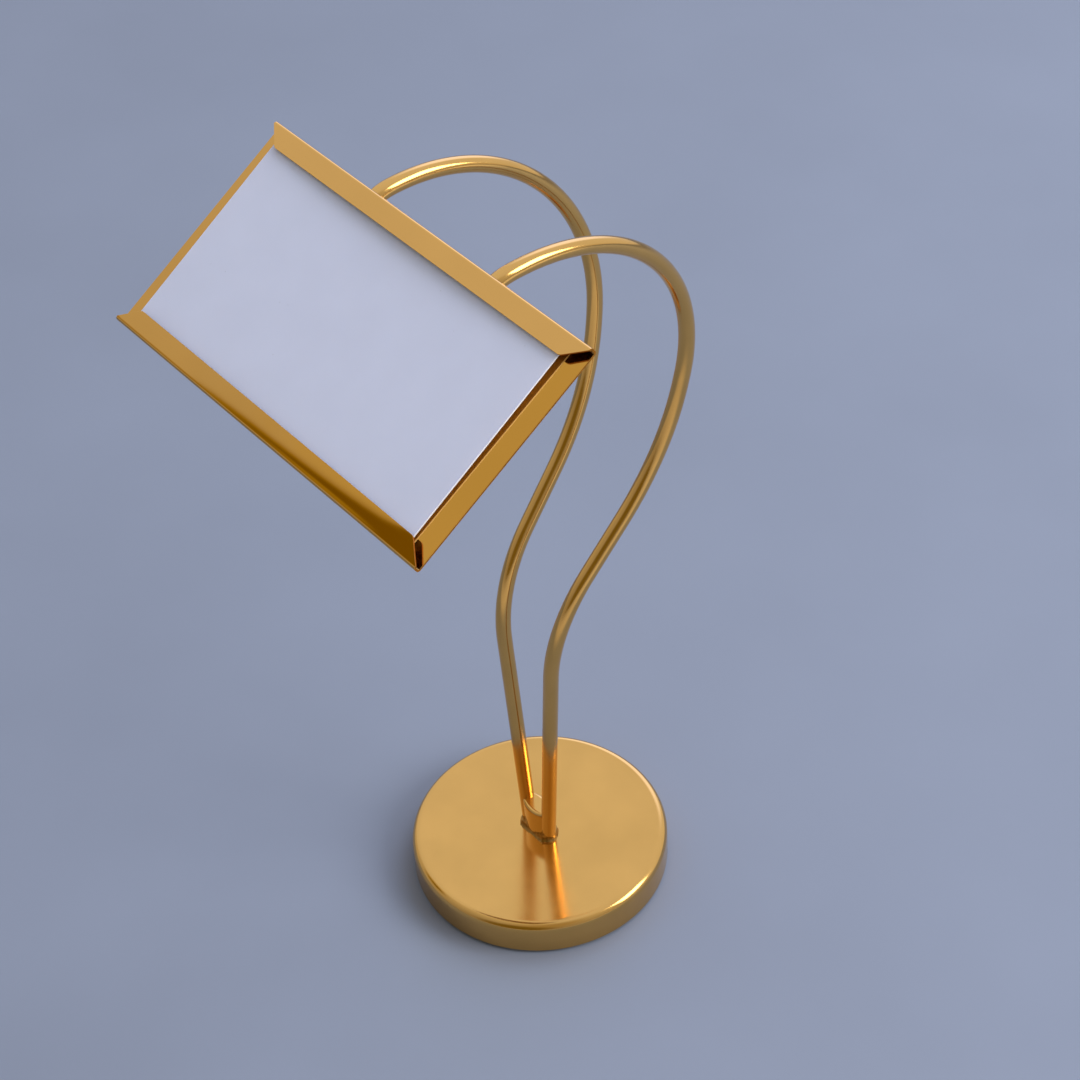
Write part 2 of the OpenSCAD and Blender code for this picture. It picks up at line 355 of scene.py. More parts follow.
def lean_frame(rods, base, side):
    """From a rod's own leaned plane to the part's frame."""
    foot = Matrix.Translation((side * rods.pitch / 2, 0, base.top))
    return foot @ Matrix.Rotation(side * rods.lean, 4, "Y")


def tray_frame(rods, tray, base):
    """From the tray's frame (X along it, Y up its slope, Z out of its front) to the part's."""
    sharp = rod_walk(rods, tray, 0)
    end = sharp[-1][0]
    distance, back, up, g = min(sharp, key=lambda place: abs(place[0] - (end - rods.tail)))
    short = end - rods.tail - distance
    back += short * math.sin(g)
    up += short * math.cos(g)
    seat = rods.diameter / 2 - rods.tail_flat + tray.sheet
    drop = tray.height / 2 - rods.tail_drop
    y = back - seat * math.sin(tray.tilt) - drop * math.cos(tray.tilt)
    z = base.top + up * math.cos(rods.lean)
    z += seat * math.cos(tray.tilt) - drop * math.sin(tray.tilt)
    return Matrix.Translation((0, y, z)) @ Matrix.Rotation(tray.tilt, 4, "X")


def build_rod(holder, side_name):
    """One rod as a smooth swept tube: square on the base, flat and round-ended on the tray."""
    rods, tray, base = holder.rods, holder.tray, holder.base
    side = SIDES[side_name]
    lean = lean_frame(rods, base, side)
    sheet = tray_frame(rods, tray, base)
    to_sheet = sheet.inverted()
    radius = rods.diameter / 2
    walk = rod_walk(rods, tray, rods.ease)
    end = walk[-1][0]
    chamfer = 0.25 * MM
    tip = 0.6 * MM
    around = 40
    places_a_ring = 4

    rings = []
    for i, (distance, back, up, g) in enumerate(walk):
        near_tip = end - distance < tip
        if i % places_a_ring and not near_tip:
            continue
        r = radius
        if distance < chamfer:
            r = radius - chamfer + distance
        if near_tip:
            r = radius - tip + math.sqrt(max(tip ** 2 - (tip - (end - distance)) ** 2, 0))
        ring = []
        for j in range(around):
            t = 2 * math.pi * j / around
            out = Vector((math.cos(t), math.sin(t) * math.cos(g), -math.sin(t) * math.sin(g)))
            p = lean @ (Vector((0, back, up)) + r * out)
            if i == 0:
                run = (lean.to_3x3() @ Vector((0, math.sin(g), math.cos(g)))).normalized()
                p += run * ((base.top - p.z) / run.z)
            if end - distance < rods.tail + rods.nose_r / 2:
                q = to_sheet @ p
                q.z = min(q.z, -tray.sheet)
                p = sheet @ q
            ring.append(p)
        rings.append(ring)
    bm = bmesh.new()
    skin(bm, rings)

    stud_r = rods.stud / 2
    lead = 0.4 * MM
    thread = 0.5 * MM
    depth = 0.12 * MM
    profile = [(0, rods.stud_low), (stud_r - lead, rods.stud_low)]
    z = rods.stud_low + lead
    while z < base.top - base.shell - thread:
        profile += [(stud_r, z), (stud_r - depth, z + thread / 2)]
        z += thread
    profile += [(stud_r, z), (stud_r, base.top), (0, base.top)]
    tube = set(bm.verts)
    lathe(bm, profile, 32)
    stud = [vert for vert in bm.verts if vert not in tube]
    bmesh.ops.translate(bm, verts=stud, vec=(side * rods.pitch / 2, 0, 0))
    return bm


# The tray

def lip_end(tray, u):
    """Half the lip's length at a place up the tray: mitred, with a rounded inner corner."""
    fold = tray.height / 2 - tray.sheet - tray.fold_r
    inner = tray.height / 2 - tray.lip
    mitre = 1.15
    inset = mitre * (fold - inner)
    slant = math.atan2(fold - inner, inset)
    run = tray.corner_r * math.tan(slant / 2)
    centre = (tray.length / 2 - inset - run, inner + tray.corner_r)
    turn = slant - math.pi / 2
    tangent_u = centre[1] + tray.corner_r * math.sin(turn)
    if u >= tangent_u:
        return tray.length / 2 - inset * (fold - u) / (fold - inner)
    drop = min(max((centre[1] - u) / tray.corner_r, -1), 1)
    return centre[0] + tray.corner_r * math.sqrt(max(1 - drop ** 2, 0))


def lip_drop(tray, x, u, n):
    """How far a lip lies below its flat place. The upper lip flares a little, and the lower
    one sags towards its fold, more and more to the right."""
    fold = tray.height / 2 - tray.sheet - tray.fold_r
    width = tray.lip - tray.sheet - tray.fold_r
    height = min(max((n - tray.fold_r) / (tray.channel - 2 * tray.fold_r), 0), 1)
    share = min(max((fold - abs(u)) / width, 0), 1)
    if u > 0:
        return -height * tray.flare * share
    start, reach, growth = -0.25, 0.74, 1.3
    run = min(max(x / tray.length - start, 0) / reach, 1) ** growth
    steepest, easing, flattest = 9.2, 8.9, 1.15
    power = max(steepest - easing * run, flattest)
    return height * tray.sag * run * (1 - share) ** power


def tray_section(tray):
    """The sheet's section from free edge to free edge: inner point, outer point, half length."""
    half = tray.length / 2
    fold = tray.height / 2 - tray.sheet - tray.fold_r
    inner = tray.height / 2 - tray.lip
    r, t = tray.fold_r, tray.sheet
    upper = []
    plate_steps = 16
    for i in range(plate_steps + 1):
        u = fold * i / plate_steps
        upper.append(((u, 0), (u, -t), half))
    bend_steps = 8
    for height, start in ((r, -90), (tray.channel - r, 0)):
        inside = arc((fold, height), r, start, start + 90, bend_steps)
        outside = arc((fold, height), r + t, start, start + 90, bend_steps)
        first = int(start < 0)
        upper += [(a, b, half) for a, b in zip(inside[first:], outside[first:])]
    lip_steps, closing = 24, 1.6
    for i in range(1, lip_steps + 1):
        share = i / lip_steps
        u = fold + (inner - fold) * (1 - (1 - share) ** closing)
        upper.append(((u, tray.channel), (u, tray.channel + t), lip_end(tray, u)))
    lower = [((-a[0], a[1]), (-b[0], b[1]), end) for a, b, end in upper[:0:-1]]
    return lower + upper


def build_tray(holder):
    """The folded sheet, with its mitred lips and softly rounded edges. Faces inside the folds
    take the second material, a painted shade, and the cut edges take the third, painted dark."""
    rods, tray, base = holder.rods, holder.tray, holder.base
    section = tray_section(tray)
    across = 49
    bunching = 0.3
    bm = bmesh.new()
    inner, outer = [], []
    for a, b, end in section:
        spots = []
        for j in range(across):
            share = 2 * j / (across - 1) - 1
            bunched = math.sin(share * math.pi / 2) * bunching + share * (1 - bunching)
            spots.append(end * bunched)
        inner.append([bm.verts.new((x, a[0], a[1] - lip_drop(tray, x, *a))) for x in spots])
        outer.append([bm.verts.new((x, b[0], b[1] - lip_drop(tray, x, *a))) for x in spots])
    for i, line in enumerate(skin_sheet(bm, inner, outer, 2)):
        height = max(section[i][0][1], section[i + 1][0][1])
        for face in line:
            # Faces inside the folds and under the lips take the painted shade of the channel
            face.material_index = int(height > tray.fold_r / 2)
    round_edges(bm, tray.edge_r, 2)
    bm.transform(tray_frame(rods, tray, base))
    return bm


def build_solder(holder, side_name):
    """A hollow fillet of solder along both sides of a tail and round its end."""
    rods, tray, base = holder.rods, holder.tray, holder.base
    lean = lean_frame(rods, base, SIDES[side_name])
    sheet = tray_frame(rods, tray, base)
    back, up, g = rod_walk(rods, tray, rods.ease)[-1][1:]
    tip = sheet.inverted() @ (lean @ Vector((0, back, up)))
    run = sheet.inverted().to_3x3() @ (lean.to_3x3() @ Vector((0, math.sin(g), math.cos(g))))
    run.z = 0
    run.normalize()
    cross = Vector((-run.y, run.x, 0))
    radius = rods.diameter / 2
    centre_h = radius - rods.tail_flat
    face = -tray.sheet

    def reach(h):
        """Half the rod's width at a height above the tray's back."""
        return math.sqrt(max(radius ** 2 - (centre_h - h) ** 2, 0))

    straight_steps, end_steps, hollow_steps = 28, 16, 8
    thinnest = 0.02 * MM
    sunk = 0.15 * MM
    spots = []
    for i in range(straight_steps):
        share = i / straight_steps
        spots.append((-tray.solder_l * (1 - share), 1, 0, share))
    for i in range(end_steps + 1):
        spots.append((0, math.cos(math.pi * i / end_steps), math.sin(math.pi * i / end_steps), 1))
    spots += [(place, -1, 0, share) for place, flank, ahead, share in spots[:straight_steps][::-1]]

    rings = []
    for index, (place, flank, ahead, share) in enumerate(spots):
        # The fillet thins out over the first fifth of its length, and is a little lumpy
        swell = min(share * 5, 1) ** 0.5
        lump = 1 + 0.07 * math.sin(index * 1.1) + 0.05 * math.sin(index * 0.43 + 1)
        height = max(tray.solder_h * swell * lump, thinnest)
        width = max(tray.solder * swell * lump, thinnest)
        root, foot = reach(height) - sunk, reach(0) + width
        bend = (reach(height / 3) + 0.15 * width, height * 0.18)
        hollow = []
        for k in range(hollow_steps + 1):
            s = k / hollow_steps
            hollow.append(((1 - s) ** 2 * root + 2 * s * (1 - s) * bend[0] + s ** 2 * foot,
                           (1 - s) ** 2 * height + 2 * s * (1 - s) * bend[1]))
        outline = hollow + [(foot * 0.8, 0), (reach(0) * 0.8, 0), (root * 0.9, height * 0.5)]
        centre = tip + run * (place - reach(0))
        ring = []
        for a, h in outline:
            out = cross * flank + run * ahead
            p = centre + out * a
            p.z = face - h
            ring.append(sheet @ p)
        rings.append(ring)
    bm = bmesh.new()
    skin(bm, rings)
    return bm


# The brazing, the base and the card

def build_spacer(holder):
    """The brazed neck between the rods' feet, with a hollow top. A fillet of brazing metal,
    painted dark as the shade at the feet and taking the second material, spreads from both feet on
    to the base."""
    rods, base = holder.rods, holder.base
    height = 9 * MM
    half_y = 2.6 * MM
    top_run, top_dip, top_round = 1.6 * MM, 0.6 * MM, 0.6
    levels, around = 24, 48
    turns = [2 * math.pi * j / around for j in range(around)]
    bm = bmesh.new()
    rings = []
    for i in range(levels + 1):
        z = height * i / levels
        half_x = rods.pitch / 2 + z * math.tan(rods.lean) + rods.diameter / 5
        top = max(z - height + top_run, 0) / top_run
        shrink = top_run * (1 - math.sqrt(1 - top ** 2)) * top_round
        ring = []
        for t in turns:
            x, y = half_x * math.cos(t), (half_y - shrink) * math.sin(t)
            dip = top_dip * top * (1 - min(abs(x) / half_x, 1) ** 2)
            ring.append((x, y, base.top + z - dip))
        rings.append(ring)
    skin(bm, rings)

    foot_h, foot_spread, bury = 1.4 * MM, 0.5 * MM, 0.3 * MM
    steps = 8
    rings = []
    for i in range(steps + 2):
        share = min(i / steps, 1)
        r = rods.diameter / 2 + foot_spread * (1 - share) ** 2
        if i > steps:
            r -= bury
        z = foot_h * share
        ring = []
        for t in turns:
            side = 1 if math.cos(t) >= 0 else -1
            centre = rods.pitch / 2 + z * math.tan(rods.lean)
            reach_y = r + (half_y - rods.diameter / 2) * (1 - abs(math.cos(t))) ** 2
            ring.append((side * centre + r * math.cos(t), reach_y * math.sin(t), base.top + z))
        rings.append(ring)
    old = set(bm.faces)
    skin(bm, rings)
    # The foot fillet takes the braze that is painted dark as the shade at the feet
    for face in bm.faces:
        face.material_index = int(face not in old)
    return bm


def build_shell(holder):
    """The pressed shell of the base, with a rounded top edge and a turned-in rim."""
    base = holder.base
    out_r = base.diameter / 2
    in_r = out_r - base.shell
    edge, shell = base.edge, base.shell
    lip = 0.3 * MM
    crown = 0.06 * MM
    profile = [(0, base.top - shell)]
    profile += [(in_r * share, base.top - shell) for share in (0.2, 0.4, 0.6, 0.8)]
    profile += arc((out_r - edge, base.top - edge), edge - shell, 90, 0, 8)
    profile += [(in_r, base.rim + 2 * lip), (in_r, base.rim + lip)]
    profile += arc((in_r + lip, base.rim + lip), lip, 180, 270, 4)[1:]
    profile += arc((out_r - lip, base.rim + lip), lip, 270, 360, 4)
    profile += [(out_r, base.rim + 3 * lip), (out_r, base.top - edge - lip)]
    profile += arc((out_r - edge, base.top - edge), edge, 0, 90, 24)
    flat = out_r - edge
    rows = 24
    for i in range(1, rows):
        share = i / rows
        profile.append((flat * (1 - share), base.top + crown * (1 - (1 - share) ** 2) - crown))
    profile.append((0, base.top))
    bm = bmesh.new()
    lathe(bm, profile, 192)
    return bm


def build_pad(holder):
    """The foam pad, with a soft lower edge where it carries the weight."""
    base = holder.base
    r = base.diameter / 2 - base.shell - base.gap
    soft = 0.5 * MM
    profile = [(0, 0)] + [(r * i / 8, 0) for i in range(1, 8)]
    profile += arc((r - soft, soft), soft, 270, 360, 6)
    profile += arc((r - soft / 2, base.pad - soft / 2), soft / 2, 0, 90, 3)
    profile.append((0, base.pad))
    bm = bmesh.new()
    lathe(bm, profile, 128)
    return bm


def build_card(holder):
    """The card. Its upper edge dips a little between its ends, and its lower edge stands a
    little off the plate. Its cut edges take the second material, which paints light on them."""
    rods, tray, base, card = holder.rods, holder.tray, holder.base, holder.card
    play = (tray.channel - card.thickness) / 2
    lean = math.asin(2 * (play - card.seat) / card.height)
    place = tray_frame(rods, tray, base)
    corner = (-card.shift - card.length / 2, card.below + tray.sheet - tray.height / 2, card.seat)
    place = place @ Matrix.Translation(corner) @ Matrix.Rotation(lean, 4, "X")
    columns, rows = 30, 16
    bow, lift = 0.6 * MM, 0.3 * MM
    trim = 0.04 * MM
    bm = bmesh.new()
    grids = []
    for level in (0, card.thickness):
        grid = []
        for i in range(rows + 1):
            line = []
            for j in range(columns + 1):
                x, y = card.length * j / columns, card.height * i / rows
                dip = bow * math.sin(math.pi * j / columns) * i / rows - lift * (1 - i / rows)
                line.append(bm.verts.new((x, y, level - dip)))
            grid.append(line)
        grids.append(grid)
    back, front = grids
    skin_sheet(bm, front, back, 1)
    round_edges(bm, trim, 1)
    bm.transform(place)
    return bm


# Materials

def rgba(values):
    """A colour with full alpha."""
    return (*values, 1)


def add(tree, kind, inputs=None, stops=(), **fields):
    """Adds a node, sets its fields and its ramp's stops, and gives its inputs values or links.
    A node given as an input is linked by its first output."""
    node = tree.nodes.new(kind)
    for name, value in fields.items():
        setattr(node, name, value)
    for name, value in (inputs or {}).items():
        if isinstance(value, bpy.types.Node):
            value = value.outputs[0]
        if isinstance(value, bpy.types.NodeSocket):
            tree.links.new(value, node.inputs[name])
        else:
            node.inputs[name].default_value = value
    for i, (position, tone) in enumerate(stops):
        elements = node.color_ramp.elements
        stop = elements[i] if i < len(elements) else elements.new(position)
        stop.position = position
        stop.color = rgba(tone)
    return node


def repeats(millimetres):
    """A texture scale at which its pattern repeats over a real size."""
    return 1 / (millimetres * MM)


def material(name):
    """An empty material and its node tree."""
    made = bpy.data.materials.new(name)
    made.use_nodes = True
    made.node_tree.nodes.clear()
    return made, made.node_tree


def scaled(values, share):
    """A colour made darker or lighter."""
    return [min(v * share, 1) for v in values]


def between(dark, light):
    """Stops of a ramp between two tones, over the middle stretch of a noise."""
    return ((0.3, dark), (0.7, light))


def metal(made, tree, tone, rough, *reliefs):
    """Ends the tree of a metal. Its tone is a noise with a dark and a light colour, and its
    roughness is a noise with two ends. Each relief is a noise and its depth in millimetres,
    laid over the one before."""
    shade = add(tree, "ShaderNodeValToRGB", {"Fac": tone[0]}, between(*tone[1:]))
    gloss = add(tree, "ShaderNodeMapRange",
                {"Value": rough[0], "To Min": rough[1], "To Max": rough[2]})
    under = {}
    for noise, depth in reliefs:
        bump = add(tree, "ShaderNodeBump", {"Height": noise, "Distance": depth * MM, **under})
        under = {"Normal": bump}
    surface = add(tree, "ShaderNodeBsdfPrincipled",
                  {"Base Color": shade, "Metallic": 1.0, "Roughness": gloss, **under})
    add(tree, "ShaderNodeOutputMaterial", {"Surface": surface})
    return made


def grained_metal(name, dark, light, grain, detail, rough, depth):
    """A metal with one grain, in millimetres, that sets its tone, its roughness and its bumps."""
    made, tree = material(name)
    place = add(tree, "ShaderNodeTexCoord").outputs["Object"]
    noise = add(tree, "ShaderNodeTexNoise",
                {"Vector": place, "Scale": repeats(grain), "Detail": detail})
    return metal(made, tree, (noise, dark, light), (noise, *rough), (noise, depth))


def gilt_wire(finish):
    """Brass rod, drawn, bent, polished and gold plated: a deep gloss that faint draw marks
    stretch along the rod. The marks are drawn 0.35 mm wide, coarser than real ones, to show."""
    made, tree = material("gilt_polished_rod")
    place = add(tree, "ShaderNodeTexCoord").outputs
    run = add(tree, "ShaderNodeMapping", {"Vector": place["UV"], "Scale": (1, 0.04, 1)})
    draw = add(tree, "ShaderNodeTexNoise", {"Vector": run, "Scale": repeats(0.35), "Detail": 3})
    haze = add(tree, "ShaderNodeTexNoise",
               {"Vector": place["Object"], "Scale": repeats(7), "Detail": 4})
    return metal(made, tree, (haze, scaled(finish.gilt, 0.94), finish.gilt), (haze, 0.10, 0.18),
                 (draw, 0.0009), (haze, 0.02))


def gilt_sheet(finish):
    """Brass sheet, rolled, mirror polished and gold plated: near-perfect reflections that the
    sheet's slight unevenness bends."""
    made, tree = material("gilt_mirror_sheet")
    place = add(tree, "ShaderNodeTexCoord").outputs["Object"]
    swell = add(tree, "ShaderNodeTexNoise",
                {"Vector": place, "Scale": repeats(16), "Detail": 1.5})
    wipe = add(tree, "ShaderNodeTexNoise", {"Vector": place, "Scale": repeats(2.2), "Detail": 5})
    return metal(made, tree, (swell, scaled(finish.sheet, 0.96), finish.sheet),
                 (wipe, 0.03, 0.09), (swell, 0.05), (wipe, 0.0015))


def shaded_channel_gilt(finish):
    """The same sheet inside its folds and under its lips, where no polishing wheel reaches: dull,
    and painted dark brown with a mottle in its grain, as painted shade in the channel's hollow."""
    return grained_metal("gilt_channel_painted_shade", scaled(finish.sheet, 0.12),
                         scaled(finish.sheet, 0.4), grain=0.8, detail=6, rough=(0.35, 0.55),
                         depth=0.02)


def gilt_cut_painted_dark(finish):
    """The same sheet's sheared edges, which the polishing wheel skips: plated over a torn
    grain, and painted darker and browner than the faces, as a painted dark reflection on the
    edges."""
    # The edges' tone is painted darker and browner: a painted dark reflection
    darkened_edge = [v * share for v, share in zip(finish.sheet, (0.85, 0.55, 0.15))]
    return grained_metal("gilt_edge_painted_dark", scaled(darkened_edge, 0.7), darkened_edge, grain=0.5, detail=5,
                         rough=(0.25, 0.4), depth=0.01)


def gilt_solder(finish):
    """Soft solder, wiped smooth and gold plated: a satin, slightly lumpy skin."""
    return grained_metal("gilt_wiped_solder", scaled(finish.solder, 0.8), finish.solder,
                         grain=1.4, detail=4, rough=(0.22, 0.42), depth=0.06)


def braze_painted_shade(finish):
    """Brazing metal at the rods' feet, gold plated over a rough skin: dull, and painted dark brown
    as painted shade where the feet meet the base, with brighter crests."""
    return grained_metal("braze_painted_foot_shade", scaled(finish.gilt, 0.34),
                         scaled(finish.gilt, 0.7), grain=0.7, detail=5, rough=(0.45, 0.25),
                         depth=0.05)


def zinc_plate(finish):
    """Steel fixings, zinc plated: a bluish silver with a tumbled grain, drawn 0.4 mm wide,
    coarser than the real one, to show."""
    return grained_metal("bright_zinc_plate", scaled(finish.zinc, 0.85), finish.zinc,
                         grain=0.4, detail=5, rough=(0.25, 0.42), depth=0.01)


def gilt_shell(finish):
    """Pressed steel cup, spun, buffed and gold plated: soft reflections, blurred a little by
    the rings that buffing leaves. The rings are drawn 0.3 mm wide, coarser than real ones, to
    show."""
    made, tree = material("gilt_buffed_shell")
    place = add(tree, "ShaderNodeTexCoord").outputs["Object"]
    flat = add(tree, "ShaderNodeVectorMath", {0: place, 1: (1, 1, 0)}, operation="MULTIPLY")
    radius = add(tree, "ShaderNodeVectorMath", {0: flat}, operation="LENGTH")
    ring_place = add(tree, "ShaderNodeCombineXYZ", {"X": radius.outputs["Value"]})
    rings = add(tree, "ShaderNodeTexNoise",
                {"Vector": ring_place, "Scale": repeats(0.3), "Detail": 4})
    cloud = add(tree, "ShaderNodeTexNoise", {"Vector": place, "Scale": repeats(12), "Detail": 5})
    return metal(made, tree, (cloud, scaled(finish.gilt, 0.92), finish.gilt),
                 (cloud, 0.11, 0.19), (rings, 0.0008), (cloud, 0.03))


def card_board(finish):
    """Uncoated calendered board: matt, with a faint mottle, fine fibres and a few specks. A
    little light comes through, which warms its underside and what the plate shows of it. The
    fibres are drawn 0.25 mm wide, coarser than real ones, to show."""
    made, tree = material("calendered_card_board")
    place = add(tree, "ShaderNodeTexCoord").outputs["Object"]
    mottle = add(tree, "ShaderNodeTexNoise", {"Vector": place, "Scale": repeats(9), "Detail": 3})
    fibres = add(tree, "ShaderNodeTexNoise",
                 {"Vector": place, "Scale": repeats(0.25), "Detail": 6})
    dots = add(tree, "ShaderNodeTexVoronoi", {"Vector": place, "Scale": repeats(3)})
    chosen = add(tree, "ShaderNodeTexNoise", {"Vector": place, "Scale": repeats(6), "Detail": 0})
    tone = add(tree, "ShaderNodeValToRGB", {"Fac": mottle},
               between(scaled(finish.card, 0.97), finish.card))
    near = add(tree, "ShaderNodeMath", {0: dots, 1: 0.045}, operation="LESS_THAN")
    few = add(tree, "ShaderNodeMath", {0: chosen, 1: 0.6}, operation="GREATER_THAN")
    speck = add(tree, "ShaderNodeMath", {0: near, 1: few}, operation="MULTIPLY")
    faint = add(tree, "ShaderNodeMath", {0: speck, 1: 0.35}, operation="MULTIPLY")
    spotted = add(tree, "ShaderNodeMix",
                  {0: faint, 6: tone, 7: rgba(scaled(finish.card, 0.45))}, data_type="RGBA")
    bump = add(tree, "ShaderNodeBump", {"Height": fibres, "Distance": 0.006 * MM})
    board = add(tree, "ShaderNodeBsdfPrincipled",
                {"Base Color": spotted.outputs[2], "Roughness": 0.7,
                 "Specular IOR Level": 0.35, "Normal": bump})
    through = add(tree, "ShaderNodeBsdfTranslucent", {"Color": rgba(finish.through)})
    both = add(tree, "ShaderNodeAddShader", {0: board, 1: through})
    add(tree, "ShaderNodeOutputMaterial", {"Surface": both})
    return made


def lit_card_edge(finish):
    """The board's guillotined edges, painted a brighter white than its faces as painted light on
    them, with fibres drawn as coarse as on its faces."""
    made, tree = material("card_edge_painted_light")
    place = add(tree, "ShaderNodeTexCoord").outputs["Object"]
    fibres = add(tree, "ShaderNodeTexNoise",
                 {"Vector": place, "Scale": repeats(0.25), "Detail": 6})
    tone = add(tree, "ShaderNodeValToRGB", {"Fac": fibres},
               between(scaled(finish.core, 0.92), finish.core))
    core = add(tree, "ShaderNodeBsdfPrincipled",
               {"Base Color": tone, "Roughness": 0.8, "Specular IOR Level": 0.3})
    add(tree, "ShaderNodeOutputMaterial", {"Surface": core})
    return made


def foam_sheet(finish):
    """Closed-cell foam rubber, die cut: matt black, with a close texture of cells."""
    made, tree = material("cut_foam_rubber")
    place = add(tree, "ShaderNodeTexCoord").outputs["Object"]
    cells = add(tree, "ShaderNodeTexVoronoi", {"Vector": place, "Scale": repeats(0.6)})
    dust = add(tree, "ShaderNodeTexNoise", {"Vector": place, "Scale": repeats(8), "Detail": 6})
    tone = add(tree, "ShaderNodeValToRGB", {"Fac": dust},
               between(finish.foam, scaled(finish.foam, 1.8)))
    bump = add(tree, "ShaderNodeBump", {"Height": cells, "Distance": 0.12 * MM})
    foam = add(tree, "ShaderNodeBsdfPrincipled",
               {"Base Color": tone, "Roughness": 0.93, "Specular IOR Level": 0.3,
                "Normal": bump})
    add(tree, "ShaderNodeOutputMaterial", {"Surface": foam})
    return made


def painted_iron(finish):
    """Cast iron, sand cast and dipped in black enamel: a low gloss over the sand's grain, which
    is drawn 0.8 mm wide, coarser than real sand, to show."""
    made, tree = material("enamelled_cast_iron")
    place = add(tree, "ShaderNodeTexCoord").outputs["Object"]
    sand = add(tree, "ShaderNodeTexNoise", {"Vector": place, "Scale": repeats(0.8), "Detail": 8})
    tone = add(tree, "ShaderNodeValToRGB", {"Fac": sand},
               between(scaled(finish.enamel, 0.7), finish.enamel))
    bump = add(tree, "ShaderNodeBump", {"Height": sand, "Distance": 0.15 * MM})
    paint = add(tree, "ShaderNodeBsdfPrincipled",
                {"Base Color": tone, "Roughness": 0.45, "Normal": bump})
    add(tree, "ShaderNodeOutputMaterial", {"Surface": paint})
    return made


def stone_table(finish):
    """Pale honed stone: matt, with broad soft clouds, and a painted pool of light well in front of
    the holder, which the upper part of the rods reflects."""
    made, tree = material("honed_pale_stone")
    place = add(tree, "ShaderNodeTexCoord").outputs["Object"]
    cloud = add(tree, "ShaderNodeTexNoise", {"Vector": place, "Scale": repeats(90), "Detail": 5})
    tone = add(tree, "ShaderNodeValToRGB", {"Fac": cloud},
               between(scaled(finish.table, 0.93), finish.table))
    # The floor is painted paler towards the front: a painted pool of light
    towards = (0.80, -0.60, 0)
    start, stop = 110 * MM, 240 * MM
    ahead = add(tree, "ShaderNodeVectorMath", {0: place, 1: towards}, operation="DOT_PRODUCT")
    front = add(tree, "ShaderNodeMapRange",
                {"Value": ahead.outputs["Value"], "From Min": start, "From Max": stop},
                interpolation_type="SMOOTHSTEP")
    light_pool_tone = add(tree, "ShaderNodeMix", {0: front, 6: tone, 7: rgba(finish.front)},
                data_type="RGBA")
    stone = add(tree, "ShaderNodeBsdfPrincipled",
                {"Base Color": light_pool_tone.outputs[2], "Roughness": 0.8, "Specular IOR Level": 0.3})
    add(tree, "ShaderNodeOutputMaterial", {"Surface": stone})
    return made


def cover(node, made):
    """Gives a node of the frame a finish of its own."""
    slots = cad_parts[node].data.materials
    if len(slots) == 0:
        slots.append(made)
    for i in range(len(slots)):
        slots[i] = made


# Operators

class CARDHOLDER_OT_rods(bpy.types.Operator):
    """Build both rods as smooth swept tubes, and the brazing between their feet."""

    bl_idname = "cardholder.rods"
    bl_label = "Rods"

    def execute(self, context):
        holder = context.scene.card_holder
        polish = gilt_wire(holder.finish)
        braze = braze_painted_shade(holder.finish)
        for side in SIDES:
            bm = build_rod(holder, side)
            finished("bent_rod_" + side, bm, "stand", "rod_" + side, [polish])
        finished("brazed_spacer", build_spacer(holder), "stand", "foot_spacer",
                 [polish, braze])
        return {"FINISHED"}


class CARDHOLDER_OT_tray(bpy.types.Operator):
    """Build the folded tray and the solder that holds the rods to it."""

    bl_idname = "cardholder.tray"
    bl_label = "Tray and solder"

    def execute(self, context):
        holder = context.scene.card_holder
        faces = [gilt_sheet(holder.finish), shaded_channel_gilt(holder.finish),
                 gilt_cut_painted_dark(holder.finish)]
        finished("folded_tray", build_tray(holder), "stand", "tray", faces,
                 smooth_angle=18)
        seam = gilt_solder(holder.finish)
        for side in SIDES:
            bm = build_solder(holder, side)
            finished("solder_seam_" + side, bm, "stand", "solder_" + side, [seam])
        return {"FINISHED"}


class CARDHOLDER_OT_base(bpy.types.Operator):
    """Build the base's shell and pad, and finish what is inside."""

    bl_idname = "cardholder.base"
    bl_label = "Base"

    def execute(self, context):
        holder = context.scene.card_holder
        shell = gilt_shell(holder.finish)
        foam = foam_sheet(holder.finish)
        zinc = zinc_plate(holder.finish)
        finished("pressed_shell", build_shell(holder), "stand", "base_shell",
                 [shell])
        finished("foam_pad", build_pad(holder), "stand", "base_pad", [foam])
        cover("base_weight", painted_iron(holder.finish))
        cover("clamp_plate", zinc)
        for side in SIDES:
            cover("lock_washer_" + side, zinc)
            cover("nut_" + side, zinc)
        return {"FINISHED"}


class CARDHOLDER_OT_card(bpy.types.Operator):
    """Build the blank card that the tray holds."""

    bl_idname = "cardholder.card"
    bl_label = "Card"

    def execute(self, context):
        holder = context.scene.card_holder
        faces = [card_board(holder.finish), lit_card_edge(holder.finish)]
        finished("blank_card", build_card(holder), "card", "place_card", faces)
        return {"FINISHED"}


# The stage

# Lamps that light the holder but that no metal mirrors: name, place, width, watts and colour
DAYLIGHT = (
    ("daylight_side", (1.10, 0.60, 0.80), 0.9, 11.0, "#EAF1FF"),
    ("daylight_behind", (0.00, 0.85, 1.17), 0.9, 9.0, "#E4EDFF"),
    ("daylight_above", (-0.20, -0.50, 1.30), 1.1, 1.0, "#CFDEFF"),
)
# The room's tones, from what faces away from its brightest wall to that wall
BRIGHTEST = (-0.35, 0.70, 0.62)
ROOM_TONES = ((0.2, "#9E9B97"), (0.60, "#C7C7C4"), (0.68, "#CECDC8"), (0.74, "#E1E5F0"),
              (1.0, "#ECF1FD"))
